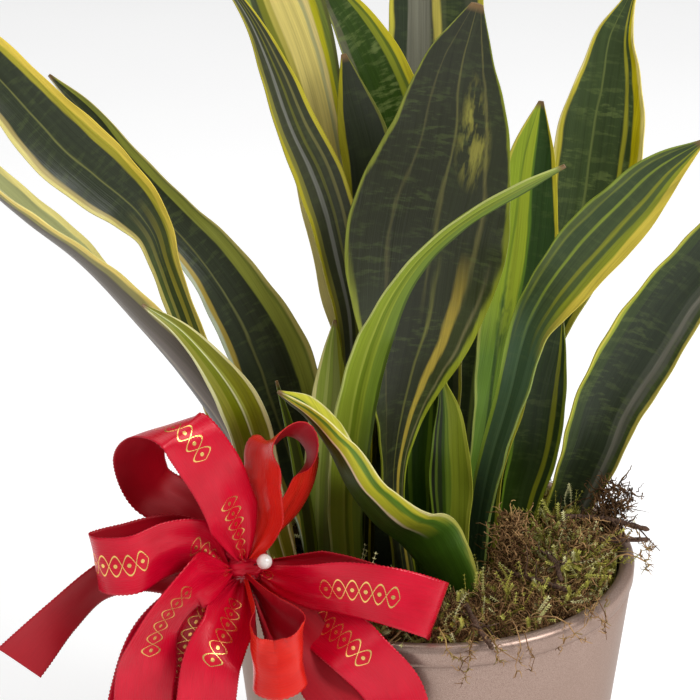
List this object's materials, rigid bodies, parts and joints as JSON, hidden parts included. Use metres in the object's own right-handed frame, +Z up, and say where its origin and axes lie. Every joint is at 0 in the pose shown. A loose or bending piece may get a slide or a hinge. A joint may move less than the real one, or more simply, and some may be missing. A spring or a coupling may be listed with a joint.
{
  "type": "potted snake plant",
  "caption": "Snake plant with long striped leaves in a round tapered cover pot, moss over the soil and a satin ribbon bow on the rim.",
  "frame": {"origin": "centre of the pot's flat underside, on the surface it stands on", "axes": "+Z up along the pot's axis; -Y is the front, with the bow on the pot's front left; +X is to the right seen from the front"},
  "size_m": [0.3818, 0.2261, 0.4873],
  "materials": {
    "leaf_green": "waxy leaf, dark green with yellow-green margins and thin pale stripes",
    "satin_glaze": "satin pearl glaze, warm taupe",
    "black_plastic": "matte black",
    "soil": "dry, crumbly, dark brown",
    "moss": "feathery dried moss, light green and brown",
    "bark": "rough bark",
    "red_satin": "woven satin, red, with picot edges",
    "pearl": "pearl coat",
    "stick_wood": "plain raw wood"
  },
  "bodies": {
    "root": {"bow_pick": "stick_wood", "growers_pot": "black_plastic", "knot": "red_satin", "leaf_arching_right": "leaf_green", "leaf_back_centre": "leaf_green", "leaf_back_left": "leaf_green", "leaf_back_right": "leaf_green", "leaf_broad_front": "leaf_green", "leaf_curled_margin": "leaf_green", "leaf_dark_right": "leaf_green", "leaf_dark_top": "leaf_green", "leaf_folded_front": "leaf_green", "leaf_grey_centre": "leaf_green", "leaf_inner_centre": "leaf_green", "leaf_lime_half": "leaf_green", "leaf_long_left": "leaf_green", "leaf_low_right": "leaf_green", "leaf_mottled_top": "leaf_green", "leaf_pale_yellow": "leaf_green", "leaf_short_centre": "leaf_green", "leaf_small_left": "leaf_green", "leaf_tall_centre": "leaf_green", "leaf_tall_right": "leaf_green", "leaf_tall_striped": "leaf_green", "leaf_thin_arching": "leaf_green", "leaf_tiny_left": "leaf_green", "leaf_twisted_left": "leaf_green", "leaf_wide_left": "leaf_green", "loop_front": "red_satin", "loop_left": "red_satin", "loop_lower_right": "red_satin", "loop_right": "red_satin", "loop_upper_left": "red_satin", "loop_upper_right": "red_satin", "moss_back": "moss", "moss_back_left": "moss", "moss_back_right": "moss", "moss_front": "moss", "moss_front_left": "moss", "moss_front_right": "moss", "moss_left": "moss", "moss_right": "moss", "pearl_pin": "pearl", "pot": "satin_glaze", "potting_soil": "soil", "tail_far_left": "red_satin", "tail_inner": "red_satin", "tail_middle": "red_satin", "tail_outer": "red_satin", "tail_twisted": "red_satin", "twig_crossing": "bark", "twig_long": "bark", "twig_rim_front": "bark", "twig_rim_lower": "bark", "twig_rim_upper": "bark"}
  },
  "joints": []
}
